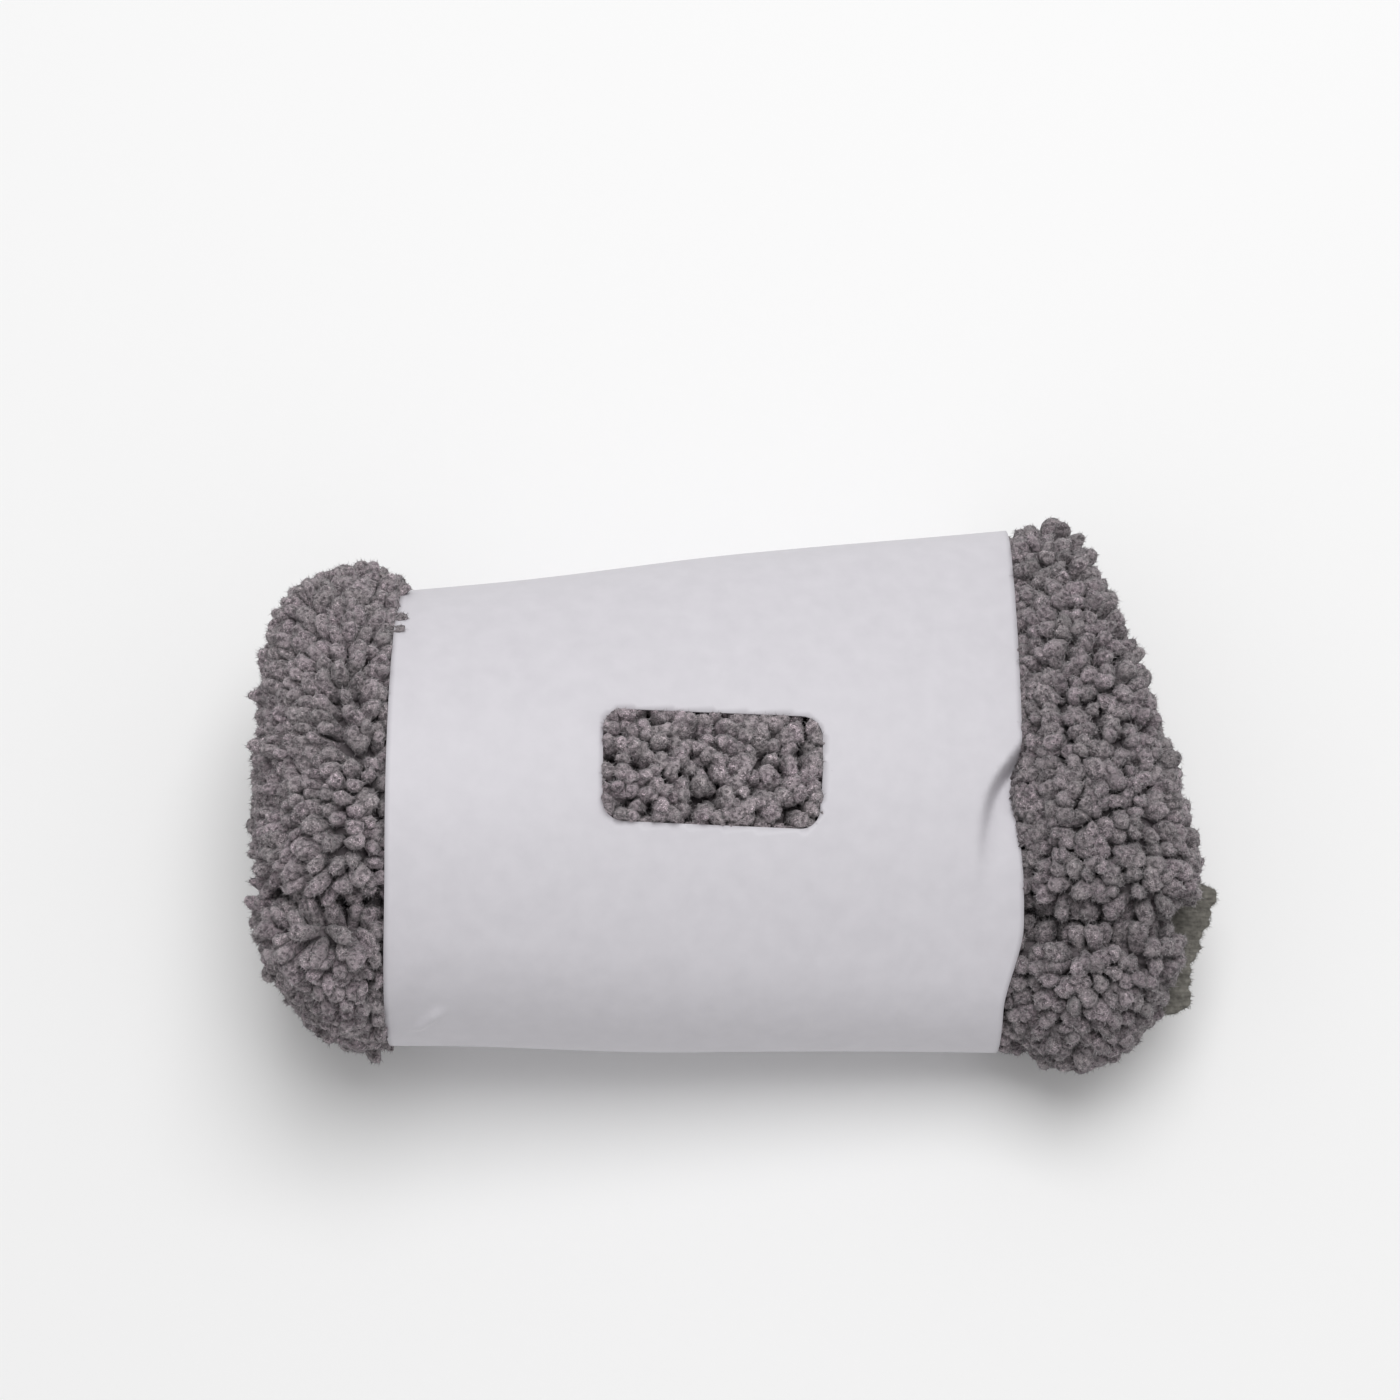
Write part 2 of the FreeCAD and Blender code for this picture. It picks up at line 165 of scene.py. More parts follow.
def card_place(points):
    """For each point: q, how deep it lies inside the card's outer skin, and the direction out of it."""
    flat, radius, middle = section_at(points[:, 0])
    y, z = points[:, 1] - middle, points[:, 2]
    side, half = np.where(y < 0, -1.0, 1.0), flat / 2
    crown_radius = half / math.sin(CROWN) + radius
    crown_end = CROWN * crown_radius
    side_end = crown_end + radius * (math.pi - CROWN)
    from_side = np.stack([np.abs(y) - half, z - radius], -1)
    from_crown = np.stack([np.abs(y), z - radius + half / math.tan(CROWN)], -1)
    on_side = from_side[:, 0] > np.maximum(from_side[:, 1], 0) * math.tan(CROWN)
    arm = np.where(on_side[:, None], from_side, from_crown)
    reach = np.maximum(np.linalg.norm(arm, axis=1), 1e-9)
    depth = np.where(on_side, radius, crown_radius) - reach
    angle = np.arctan2(arm[:, 0], arm[:, 1])
    q = np.where(on_side, crown_end + radius * (angle - CROWN), crown_radius * angle)
    out = arm / reach[:, None]
    at_floor = ((~on_side) | (from_side[:, 0] < 0)) & (z < depth)
    depth = np.where(at_floor, z, depth)
    q = np.where(at_floor, side_end + half - np.abs(y), q)
    out = np.where(at_floor[:, None], [0.0, -1.0], out)
    normal = np.stack([np.zeros_like(y), side * out[:, 0], out[:, 1]], -1)
    q = side * q - middle + SEAM
    return q, depth + card_relief(q, points[:, 0]), normal


def card_edges(q):
    """X of the card's left and right edge at each q: not cut quite square, and pinched at the dent."""
    left = LEFT - 1.8 * MM * smooth_step(-10 * MM, -66 * MM, q)
    right = RIGHT - 3.6 * MM * smooth_step(-38 * MM, -56 * MM, q)
    from_dent = q - DENT_Q + 8 * MM
    right -= 1.9 * MM * np.exp(-(from_dent / np.where(from_dent > 0, 5 * MM, 10 * MM)) ** 2)
    return left, right


def card_relief(q, x):
    """How far the card is pushed in (-) or out (+) by the cloth under it and by handling."""
    slow_waves = np.sin(q / (31 * MM) + x / (47 * MM)) * np.sin(x / (22 * MM) + 1.0)
    relief = 0.3 * MM * slow_waves
    # the dent's fold runs in from the right edge and turns to the front; the card beyond it is pushed in
    inward = np.maximum(RIGHT - x, 0)
    bend = (inward / DENT_BEND) ** 4
    from_fold = (q - DENT_Q + (1.15 + 0.625 * bend) * inward) / np.hypot(1.15 + 3.1 * bend, 1)
    beyond = smooth_step(DENT_HALF_WIDTH, -DENT_HALF_WIDTH, from_fold)
    fade = np.exp(-(np.minimum(q - DENT_Q, 0) / DENT_LENGTH) ** 2 - (inward / DENT_REACH) ** 6)
    relief -= DENT_DEPTH * beyond * fade
    relief -= FRONT_SAG * smooth_step(-30 * MM, -60 * MM, q) * smooth_step(-10 * MM, -60 * MM, x)
    relief -= BACK_SAG * smooth_step(25 * MM, 50 * MM, q) * smooth_step(0, -50 * MM, x)
    for middle_x, middle_q, half_length, half_width, lean, height in CREASES:
        along = (x - middle_x) * math.cos(lean) + (q - middle_q) * math.sin(lean)
        off = (q - middle_q) * math.cos(lean) - (x - middle_x) * math.sin(lean)
        relief += height * np.exp(-(along / half_length) ** 4) * np.exp(-(off / half_width) ** 2)
    off_the_table = smooth_step(HALF_GIRTH - 26 * MM, HALF_GIRTH - 46 * MM, np.abs(q))
    return relief * off_the_table


# ---------------------------------------------------------------- mesh helpers
def new_piece(name, points, face_blocks, material, body, stands_for, smooth=True):
    """A piece from points and blocks of faces, each block an array of faces with equally many corners."""
    mesh = bpy.data.meshes.new(name)
    sizes = np.concatenate([np.full(len(block), block.shape[1]) for block in face_blocks])
    loops = np.concatenate([block.ravel() for block in face_blocks])
    mesh.vertices.add(len(points))
    mesh.vertices.foreach_set("co", np.ascontiguousarray(points, dtype=np.float32).ravel())
    mesh.loops.add(len(loops))
    mesh.loops.foreach_set("vertex_index", loops.astype(np.int32))
    mesh.polygons.add(len(sizes))
    mesh.polygons.foreach_set("loop_start", np.concatenate([[0], np.cumsum(sizes)[:-1]]).astype(np.int32))
    mesh.polygons.foreach_set("use_smooth", np.full(len(sizes), smooth))
    mesh.update(calc_edges=True)
    mesh.validate()
    mesh.materials.append(material)
    piece = bpy.data.objects.new(name, mesh)
    bpy.context.scene.collection.objects.link(piece)
    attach(piece, body)
    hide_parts(stands_for)
    return piece


def evaluated_mesh(mesh, modifiers):
    """The mesh after a list of (type, settings) modifiers, as points and triangles."""
    holder = bpy.data.objects.new("shaping", mesh)
    bpy.context.scene.collection.objects.link(holder)
    for kind, settings in modifiers:
        modifier = holder.modifiers.new(kind.lower(), kind)
        for key, setting in settings.items():
            setattr(modifier, key, setting)
    shaped = holder.evaluated_get(bpy.context.evaluated_depsgraph_get()).to_mesh()
    shaped.calc_loop_triangles()
    points = np.empty(len(shaped.vertices) * 3)
    shaped.vertices.foreach_get("co", points)
    triangles = np.empty(len(shaped.loop_triangles) * 3, dtype=np.int32)
    shaped.loop_triangles.foreach_get("vertices", triangles)
    bpy.data.objects.remove(holder)
    return points.reshape(-1, 3), triangles.reshape(-1, 3)


# ---------------------------------------------------------------- materials
def new_material(name):
    """A material with its nodes, links and shader."""
    material = bpy.data.materials.new(name)
    material.use_nodes = True
    nodes = material.node_tree.nodes
    return material, nodes, material.node_tree.links, nodes["Principled BSDF"]


def set_inputs(node, numbers):
    """Set a node's inputs from a dictionary of their names."""
    for name, number in numbers.items():
        node.inputs[name].default_value = number


def attribute_value(nodes, name):
    """The value of a mesh attribute."""
    node = nodes.new("ShaderNodeAttribute")
    node.attribute_name = name
    return node.outputs["Fac"]


def noise(nodes, links, source, scale, detail, distortion=0.0):
    """The value of a noise whose blotches are about 1 / scale metres wide."""
    node = nodes.new("ShaderNodeTexNoise")
    set_inputs(node, {"Scale": scale, "Detail": detail, "Distortion": distortion})
    links.new(source, node.inputs["Vector"])
    return node.outputs["Fac"]


def ramp_colour(nodes, links, source, stops):
    """The colour that a value picks from a ramp of (position, colour) stops."""
    ramp = nodes.new("ShaderNodeValToRGB")
    for i, (at, colour) in enumerate(stops):
        stop = ramp.color_ramp.elements[i] if i < 2 else ramp.color_ramp.elements.new(at)
        stop.position = at
        stop.color = (*colour, 1)
    links.new(source, ramp.inputs["Fac"])
    return ramp.outputs["Color"]


def map_range(nodes, links, source, from_low, from_high, to_low, to_high):
    """A value taken from one range to another and held within it."""
    node = nodes.new("ShaderNodeMapRange")
    set_inputs(node, {"From Min": from_low, "From Max": from_high, "To Min": to_low, "To Max": to_high})
    links.new(source, node.inputs["Value"])
    return node.outputs["Result"]


def multiply(nodes, links, first, second):
    """One colour multiplied by another."""
    node = nodes.new("ShaderNodeMix")
    node.data_type = "RGBA"
    node.blend_type = "MULTIPLY"
    set_inputs(node, {"Factor": 1.0})
    links.new(first, node.inputs["A"])
    links.new(second, node.inputs["B"])
    return node.outputs["Result"]


def bump(nodes, links, height, strength, distance, under=None):
    """A normal disturbed by a height, and by another normal under it."""
    node = nodes.new("ShaderNodeBump")
    set_inputs(node, {"Strength": strength, "Distance": distance})
    links.new(height, node.inputs["Height"])
    if under is not None:
        links.new(under, node.inputs["Normal"])
    return node.outputs["Normal"]


def threads(nodes, links, source, scale, width):
    """Fine crinkled lines, 1 on a line and 0 between: where a warped noise crosses its middle."""
    centred = nodes.new("ShaderNodeMath")
    centred.operation = "SUBTRACT"
    centred.inputs[1].default_value = 0.5
    links.new(noise(nodes, links, source, scale, 2, distortion=1.2), centred.inputs[0])
    size = nodes.new("ShaderNodeMath")
    size.operation = "ABSOLUTE"
    links.new(centred.outputs[0], size.inputs[0])
    return map_range(nodes, links, size.outputs[0], 0.0, width, 1.0, 0.0)


def pile_material():
    """Matt acrylic pile of crinkled fibres: each tuft has its own random tone; painted light lifts the tufts
    at the left end and in the window, painted shade darkens them towards their roots and in the hollows of
    their curls, and painted glints light the fibres.
    """
    material, nodes, links, shader = new_material("grey_curly_pile")
    position = nodes.new("ShaderNodeTexCoord").outputs["Object"]
    # painted shade: each tuft darkens from its tip down to its root, for the shade deep in the pile
    body = ramp_colour(nodes, links, attribute_value(nodes, "height"), [
        (0.0, (0.17, 0.148, 0.158)), (0.6, (0.262, 0.231, 0.246)), (1.0, (0.325, 0.290, 0.306))])
    curls = noise(nodes, links, position, 1100, 4)
    for source, stops in (
        # the tone attribute holds each tuft's random tone, plus painted light that lifts the tufts at the
        # left end and in the window
        (attribute_value(nodes, "tone"), [(0.0, (0.79, 0.78, 0.78)), (1.0, (1.44, 1.41, 1.42))]),
        (noise(nodes, links, position, 150, 2), [(0.35, (1.05, 1.00, 1.03)), (0.65, (0.95, 0.97, 0.94))]),
        # painted shade: the curl noise is also the coarse bump's height, so this darkens the bump's hollows
        (curls, [(0.38, (0.34, 0.33, 0.34)), (0.55, (1.12, 1.12, 1.12))]),
    ):
        body = multiply(nodes, links, body, ramp_colour(nodes, links, source, stops))
    # painted glints: the crinkled threads are made up to three times lighter, in patches set by a coarser
    # noise; they also bump the surface
    fibres = threads(nodes, links, position, 1500, 0.045)
    painted_fibre_glint = ramp_colour(nodes, links, fibres, [(0.0, (0.74, 0.73, 0.74)), (1.0, (3.0, 2.92, 2.96))])
    fibred = multiply(nodes, links, body, painted_fibre_glint)
    painted_glint_share = map_range(nodes, links, noise(nodes, links, position, 320, 1), 0.38, 0.62, 0.35, 1.0)
    links.new(painted_glint_share, fibred.node.inputs["Factor"])
    links.new(fibred, shader.inputs["Base Color"])
    coarse = bump(nodes, links, curls, 1.0, 1.6 * MM)
    links.new(bump(nodes, links, fibres, 0.7, 0.15 * MM, under=coarse), shader.inputs["Normal"])
    set_inputs(shader, {"Roughness": 0.95, "Specular IOR Level": 0.15, "Sheen Weight": 0.35,
                        "Sheen Roughness": 0.6})
    return material


def fibre_material():
    """Loose fibres that stand off the tufts, some lighter than others: their tone varies at random, and the
    light ones, about twice the pile's tip tone, are painted glints.
    """
    material, nodes, links, shader = new_material("grey_loose_fibre")
    position = nodes.new("ShaderNodeTexCoord").outputs["Object"]
    # painted glints: the noise makes many fibres far lighter than the pile they stand off
    tone = ramp_colour(nodes, links, noise(nodes, links, position, 500, 2), [
        (0.40, (0.17, 0.150, 0.159)), (0.62, (0.60, 0.555, 0.575))])
    links.new(tone, shader.inputs["Base Color"])
    set_inputs(shader, {"Roughness": 0.8, "Sheen Weight": 0.4})
    return material


def knit_material(name, dark, light, pitch):
    """Plain knitted ground: rows of small loops."""
    material, nodes, links, shader = new_material(name)
    position = nodes.new("ShaderNodeTexCoord").outputs["Object"]
    rows = nodes.new("ShaderNodeTexWave")
    rows.bands_direction = "Y"
    set_inputs(rows, {"Scale": 0.314 / pitch, "Distortion": 2.0, "Detail Scale": 3.0})
    links.new(position, rows.inputs["Vector"])
    mottle = noise(nodes, links, position, 700, 4)
    links.new(ramp_colour(nodes, links, mottle, [(0.25, dark), (0.75, light)]), shader.inputs["Base Color"])
    links.new(bump(nodes, links, rows.outputs["Fac"], 0.6, 0.3 * MM), shader.inputs["Normal"])
    set_inputs(shader, {"Roughness": 0.95, "Specular IOR Level": 0.1})
    return material


def card_material():
    """White coated card: faint pulp mottle, a soft sheen and a fine tooth."""
    material, nodes, links, shader = new_material("white_card")
    position = nodes.new("ShaderNodeTexCoord").outputs["Object"]
    pulp = noise(nodes, links, position, 260, 6)
    tone = ramp_colour(nodes, links, pulp, [(0.3, (0.617, 0.600, 0.638)), (0.7, (0.652, 0.634, 0.673))])
    links.new(tone, shader.inputs["Base Color"])
    tooth = noise(nodes, links, position, 1800, 3)
    links.new(bump(nodes, links, tooth, 0.12, 0.05 * MM), shader.inputs["Normal"])
    links.new(map_range(nodes, links, pulp, 0.0, 1.0, 0.42, 0.58), shader.inputs["Roughness"])
    set_inputs(shader, {"Specular IOR Level": 0.35})
    return material


def glue_material():
    """A dried line of paper glue."""
    material, nodes, links, shader = new_material("paper_glue")
    position = nodes.new("ShaderNodeTexCoord").outputs["Object"]
    tone = ramp_colour(nodes, links, noise(nodes, links, position, 300, 3), [
        (0.3, (0.50, 0.47, 0.38)), (0.7, (0.66, 0.63, 0.54))])
    links.new(tone, shader.inputs["Base Color"])
    set_inputs(shader, {"Roughness": 0.5})
    return material


# ---------------------------------------------------------------- card sleeve
def window_outline(step):
    """The rounded window as (x, y) points seen from above, no further apart than about a step."""
    half = np.array([WINDOW_LENGTH, WINDOW_WIDTH]) / 2 - WINDOW_CORNER
    points = []
    for turn, (sx, sy) in enumerate(((1, 1), (-1, 1), (-1, -1), (1, -1))):
        angles = np.linspace(turn, turn + 1, 9) * math.pi / 2
        centre = np.array([sx, sy]) * half + WINDOW_MIDDLE
        points.extend(centre + WINDOW_CORNER * np.stack([np.cos(angles), np.sin(angles)], -1))
    closed = points + points[:1]
    fine = []
    for a, b in zip(closed, closed[1:]):
        count = max(1, round(np.linalg.norm(b - a) / step))
        fine.extend(a + (b - a) * k / count for k in range(count))
    return np.array(fine)


def in_window(x, y, margin=0.0):
    """True where a point seen from above is inside the window by at least the margin."""
    corner = WINDOW_CORNER
    dx = np.abs(x - WINDOW_MIDDLE.x) - (WINDOW_LENGTH / 2 - corner)
    dy = np.abs(y - WINDOW_MIDDLE.y) - (WINDOW_WIDTH / 2 - corner)
    outside = np.hypot(np.maximum(dx, 0), np.maximum(dy, 0)) + np.minimum(np.maximum(dx, dy), 0)
    return outside < corner - margin


def fine_grid(low_q, high_q, low_x, high_x):
    """Extra points (q, x) of the card where a fold or crease is finer than its main grid."""
    q, x = np.meshgrid(np.arange(low_q, high_q, FINE_PITCH) + 0.31 * MM,
                       np.arange(low_x, high_x, FINE_PITCH) + 0.27 * MM)
    return np.stack([q, x], -1).reshape(-1, 2)


def window_q(xy):
    """q of the points on the card's top that lie under the given (x, y)."""
    q = xy[:, 1].copy()
    for _ in range(12):
        seen, _ = card_surface(q, xy[:, 0])
        q += xy[:, 1] - seen[:, 1]
    return q


def flat_strip():
    """The strip laid flat, with its window cut out: points (q, x) and triangles."""
    end_q = HALF_GIRTH + FLAP_HALF
    grid_q, grid_x = np.meshgrid(np.linspace(-end_q, end_q, STRIP_COLUMNS),
                                 np.linspace(LEFT, RIGHT, STRIP_ROWS))
    fine_at_dent = fine_grid(DENT_Q - 26 * MM, DENT_Q + 4 * MM, RIGHT - 15 * MM, RIGHT - 0.4 * MM)
    fine_at_crease = fine_grid(-55 * MM, -39 * MM, LEFT + 2 * MM, LEFT + 12 * MM)
    hole_xy = window_outline(RIM_STEP)
    hole = np.stack([window_q(hole_xy), hole_xy[:, 0]], -1)
    grid = np.stack([grid_q, grid_x], -1).reshape(-1, 2)
    flat = np.concatenate([grid, fine_at_dent, fine_at_crease])
    clear = np.array([np.linalg.norm(hole - p, axis=1).min() > RIM_CLEARANCE for p in flat])
    flat = np.concatenate([hole, flat[clear]]) / MM
    edges = [(i, (i + 1) % len(hole)) for i in range(len(hole))]
    made = delaunay_2d_cdt([Vector(p) for p in flat], edges, [], 0, 1e-4)
    flat = np.array([tuple(v) for v in made[0]]) * MM
    triangles = np.array(made[2])
    middle = flat[triangles].mean(1)
    seen, _ = card_surface(middle[:, 0], middle[:, 1])
    top = np.abs(middle[:, 0]) < HALF_GIRTH / 2
    return flat, triangles[~(top & in_window(seen[:, 0], seen[:, 1]))]


def make_card_sleeve(material):
    """One strip wrapped round the bundle, cut open at the window, with a step where its ends overlap."""
    flat, triangles = flat_strip()
    q = flat[:, 0]
    left, right = card_edges(q)
    share = (flat[:, 1] - LEFT) / (RIGHT - LEFT)
    x = flat[:, 1] + (left - LEFT) * (1 - share) ** 3 + (right - RIGHT) * share ** 3
    points, normals = card_surface(q, x)
    step_up = smooth_step(HALF_GIRTH - FLAP_HALF - FLAP_STEP, HALF_GIRTH - FLAP_HALF, q) * (CARD + GLUE)
    outer = points + normals * (card_relief(q, x) - step_up)[:, None]
    outer[:, 2] = np.maximum(outer[:, 2], 0)
    inner = outer - normals * CARD
    count = len(outer)
    inside = triangles[:, ::-1] + count
    sides = np.concatenate([triangles[:, [0, 1]], triangles[:, [1, 2]], triangles[:, [2, 0]]])
    keys = {tuple(s) for s in sides}
    rim = [(a, b) for a, b in keys if (b, a) not in keys]
    walls = np.array([(b, a, a + count, b + count) for a, b in rim])
    new_piece("card_strip", np.concatenate([outer, inner]), [triangles, inside, walls], material,
              "sleeve", "card_sleeve")


def make_glue_strip(material):
    """The glue line, with an uneven edge, between the strip's two ends."""
    x, share = np.linspace(glue_low.x, glue_high.x, 60), np.linspace(-1, 1, 9)
    grid_x, across = np.meshgrid(x, share, indexing="ij")
    waver = 1 + 0.06 * np.sin(grid_x / (5 * MM)) + 0.04 * np.sin(grid_x / (2.3 * MM) + 1)
    half = (glue_high.y - glue_low.y) / 2
    y = SEAM + across * half * waver
    levels = [np.stack([grid_x, y, np.full_like(y, z)], -1).reshape(-1, 3) for z in (CARD, CARD + GLUE)]
    rows, columns = grid_x.shape
    index = np.arange(rows * columns).reshape(rows, columns)
    quads = np.stack([index[:-1, :-1], index[1:, :-1], index[1:, 1:], index[:-1, 1:]], -1).reshape(-1, 4)
    above = rows * columns
    border = np.array([*index[0, :], *index[1:, -1], *index[-1, -2::-1], *index[-2:0:-1, 0]])
    after = np.roll(border, -1)
    walls = np.stack([border, border + above, after + above, after], -1)
    new_piece("glue_line", np.concatenate(levels), [quads[:, ::-1], quads + above, walls], material,
              "sleeve", "sleeve_glue_strip", smooth=False)


# ---------------------------------------------------------------- pile fabric
def make_ground(node):
    """The knit ground of one article: its soft form, smoothed and drawn in by the height of the pile."""
    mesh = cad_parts[node].data.copy()
    return evaluated_mesh(mesh, [
        ("REMESH", {"mode": "VOXEL", "voxel_size": GROUND_VOXEL}),
        ("SMOOTH", {"factor": 0.5, "iterations": 6}),
        ("DISPLACE", {"strength": -PILE, "mid_level": 0.0}),
        ("REMESH", {"mode": "VOXEL", "voxel_size": GROUND_VOXEL}),
        ("SMOOTH", {"factor": 0.5, "iterations": 8}),
    ])


def spread_points(points, triangles, spacing):
    """Points spread over a surface no nearer to each other than the spacing, with their normals."""
    corners = points[triangles]
    cross = np.cross(corners[:, 1] - corners[:, 0], corners[:, 2] - corners[:, 0])
    area = np.linalg.norm(cross, axis=1) / 2
    count = int(area.sum() / spacing ** 2 * TRIES_PER_SPOT)
    pick = rng.choice(len(triangles), count, p=area / area.sum())
    a, b = rng.random((2, count, 1))
    flip = a + b > 1
    a, b = np.where(flip, 1 - a, a), np.where(flip, 1 - b, b)
    spots = corners[pick, 0] * (1 - a - b) + corners[pick, 1] * a + corners[pick, 2] * b
    normals = cross[pick] / (2 * area[pick, None])
    taken, kept = {}, []
    cells = np.floor(spots / spacing).astype(int)
    around = [(i, j, k) for i in (-1, 0, 1) for j in (-1, 0, 1) for k in (-1, 0, 1)]
    for n, (spot, cell) in enumerate(zip(spots, map(tuple, cells))):
        cells_near = ((cell[0] + i, cell[1] + j, cell[2] + k) for i, j, k in around)
        near = (m for c in cells_near for m in taken.get(c, ()))
        if all(np.dot(spots[m] - spot, spots[m] - spot) > spacing ** 2 for m in near):
            taken.setdefault(cell, []).append(n)
            kept.append(n)
    return spots[kept], normals[kept]


def tuft_profile():
    """Tuft radius along its length: a narrow root, a full body and a round tip."""
    swell = 0.72 + 0.28 * smooth_step(0.0, 0.5, RINGS)
    cap = np.sqrt(np.clip(1 - (np.maximum(RINGS - 0.60, 0) / 0.41) ** 2, 0, 1))
    return swell * cap


def tuft_variants(count):
    """Radii of several curly tufts, as rings of sides: lumps that wind round like twisted yarn."""
    angle = np.arange(SIDES) / SIDES * 2 * math.pi
    variants = []
    for _ in range(count):
        lumps = np.ones((len(RINGS), SIDES))
        for waves, size in ((1, 0.12), (2, 0.16), (3, 0.14), (4, 0.10)):
            twist, phase, climb = rng.uniform(2, 7), rng.uniform(0, 2 * math.pi), rng.uniform(3, 9)
            lumps += size * np.sin(waves * angle[None] + twist * RINGS[:, None] + phase)
            lumps += 0.6 * size * np.sin(climb * RINGS[:, None] + phase * 2 + waves)
        variants.append(tuft_profile()[:, None] * lumps)
    return np.array(variants)


def across_axes(direction):
    """Two unit vectors square to each direction."""
    helper = np.where(np.abs(direction[:, 2:3]) < 0.9, [[0.0, 0.0, 1.0]], [[1.0, 0.0, 0.0]])
    first = np.cross(helper, direction)
    first /= np.linalg.norm(first, axis=1, keepdims=True)
    return first, np.cross(direction, first)


def grow_tufts(roots, normals, variants):
    """Points of every tuft, as (tuft, ring, side), and its tip."""
    count = len(roots)
    at_left = smooth_step(LEFT + 2 * MM, LEFT - 12 * MM, roots[:, 0])
    outward = np.zeros((count, 3))
    outward[:, :2] = roots[:, :2] - FAN_MIDDLE
    outward /= np.linalg.norm(outward, axis=1, keepdims=True)
    outward -= normals * (outward * normals).sum(1)[:, None]
    scatter = rng.normal(size=(count, 3)) * 0.13
    direction = normals + outward * at_left[:, None] + scatter
    direction += window_spread(roots)
    first, second = across_axes(direction / np.linalg.norm(direction, axis=1, keepdims=True))
    height = (PILE + 0.3 * MM) * rng.uniform(0.82, 1.10, count)
    height += window_lift(roots) + edge_lift(roots, normals)
    bend = rng.normal(size=(count, 2)) * 0.6 * MM
    thickness = TUFT_RADIUS * rng.uniform(0.82, 1.15, count) * (1 - 0.12 * at_left)
    spin = rng.uniform(0, 2 * math.pi, count)
    kind = rng.integers(0, len(variants), count)
    base = roots - normals * TUFT_ROOT
    stem = direction * height[:, None] + normals * TUFT_ROOT
    t = RINGS[None, :, None]
    sway = first[:, None] * bend[:, 0, None, None] + second[:, None] * bend[:, 1, None, None]
    axis = base[:, None] + stem[:, None] * t + sway * t ** 2
    angle = np.arange(SIDES)[None] / SIDES * 2 * math.pi + spin[:, None]
    ring = np.cos(angle)[..., None] * first[:, None] + np.sin(angle)[..., None] * second[:, None]
    radii = variants[kind] * thickness[:, None, None]
    points = axis[:, :, None] + ring[:, None] * radii[..., None]
    tips = base + stem + sway[:, 0]
    return points, tips, direction


def over_edge(points):
    """True where the pile can spill over the card: at its back left edge."""
    return (points[:, 0] < LEFT + 3 * MM) & (points[:, 1] > 5 * MM) & (points[:, 2] > 50 * MM)


def window_corner(roots):
    """Whether each root is inside the window, and how near (0 to 1) its front left corner it is."""
    inside = in_window(roots[:, 0], roots[:, 1], -1.5 * MM) & (roots[:, 2] > 20 * MM)
    return inside, inside * smooth_step(-11 * MM, -27 * MM, roots[:, 0] + 0.8 * roots[:, 1])


def window_lift(roots):
    """The pile stands up through the window, most at its front left corner."""
    inside, to_corner = window_corner(roots)
    return WINDOW_LIFT * inside + CORNER_LIFT * to_corner


def window_spread(roots):
    """The pile leans out over the window's front left corner."""
    return window_corner(roots)[1][:, None] * np.array([-0.25, 0.0, 0.0])


def edge_lift(roots, normals):
    """The pile that isn't held down stands taller right beside the card's back left edge."""
    beside = smooth_step(LEFT - 8 * MM, LEFT - 2 * MM, roots[:, 0]) * (roots[:, 0] < LEFT + 1.5 * MM)
    upwards = smooth_step(0.35, 0.85, normals[:, 1:] @ UP_IN_VIEW)
    return EDGE_LIFT * beside * upwards


def under_card(points):
    """True for points the card lies over, with how deep they are inside it and the way out."""
    q, depth, normal = card_place(points)
    left, right = card_edges(q)
    covered = (points[:, 0] > left) & (points[:, 0] < right)
    covered &= ~(in_window(points[:, 0], points[:, 1]) & (np.abs(q) < HALF_GIRTH / 2))
    return covered, depth, normal


def soft_floor(depth, room, give):
    """Depths below room + give are squeezed into what's left above the room."""
    return np.where(depth < room + give, room + give * np.exp((depth - room - give) / (1.6 * give)), depth)


def press(points):
    """Squash what grows under the card against its inside, and keep everything off the table.

    What stands in the window is only patted level, a little above the card.
    """
    covered, depth, normal = under_card(points)
    in_opening, to_corner = window_corner(points)
    room = np.where(covered, UNDER_CARD, -PROUD_OF_WINDOW - PROUD_AT_CORNER * to_corner)
    lowered = soft_floor(depth, room, 1.0 * MM)
    points = points + np.where(covered | in_opening, depth - lowered, 0)[:, None] * normal
    points[:, 2] = soft_floor(points[:, 2], 0.1 * MM, 0.8 * MM)
    return clear_of_hem(points)


def hem_edge(name):
    """Y steps along a hem, and how far to the right it reaches at each."""
    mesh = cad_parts[name].data
    skin = BVHTree.FromPolygons([v.co for v in mesh.vertices], [p.vertices for p in mesh.polygons])
    low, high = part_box(name)
    steps = np.linspace(low.y + 0.5 * MM, high.y - 0.5 * MM, 30)
    starts = [Vector((high.x + 1, y, (low.z + high.z) / 2)) for y in steps]
    reach = [skin.ray_cast(start, Vector((-1, 0, 0)))[0] for start in starts]
    return steps, np.array([high.x if hit is None else hit.x for hit in reach]), high.z


def clear_of_hem(points):
    """Hold the pile back from the outer strip of the plain edge that shows past it in the main view."""
    steps, reach, top = hem_edge("back_hem")
    rise = points[:, 2] - top
    seen_y = points[:, 1] + 0.27 * rise
    easing_off = 2 * np.maximum(seen_y - steps[-4], 0)
    limit = np.interp(seen_y, steps, reach) - HEM_SHOWS + easing_off
    beside = (rise > -3 * MM) & (seen_y > steps[0]) & (points[:, 0] > RIGHT)
    held_back = limit - soft_floor(limit - points[:, 0], 0.1 * MM, 0.8 * MM)
    points[:, 0] = np.where(beside, held_back, points[:, 0])
    return points


def spill(points):
    """Hold tufts back at the card's left edge as high as its outside. Above that they hang over it."""
    q, depth, _ = card_place(points)
    edge = card_edges(q)[0] - 0.1 * MM
    points[:, 0] = np.where(depth > -0.2 * MM, np.minimum(points[:, 0], edge), points[:, 0])
    return points


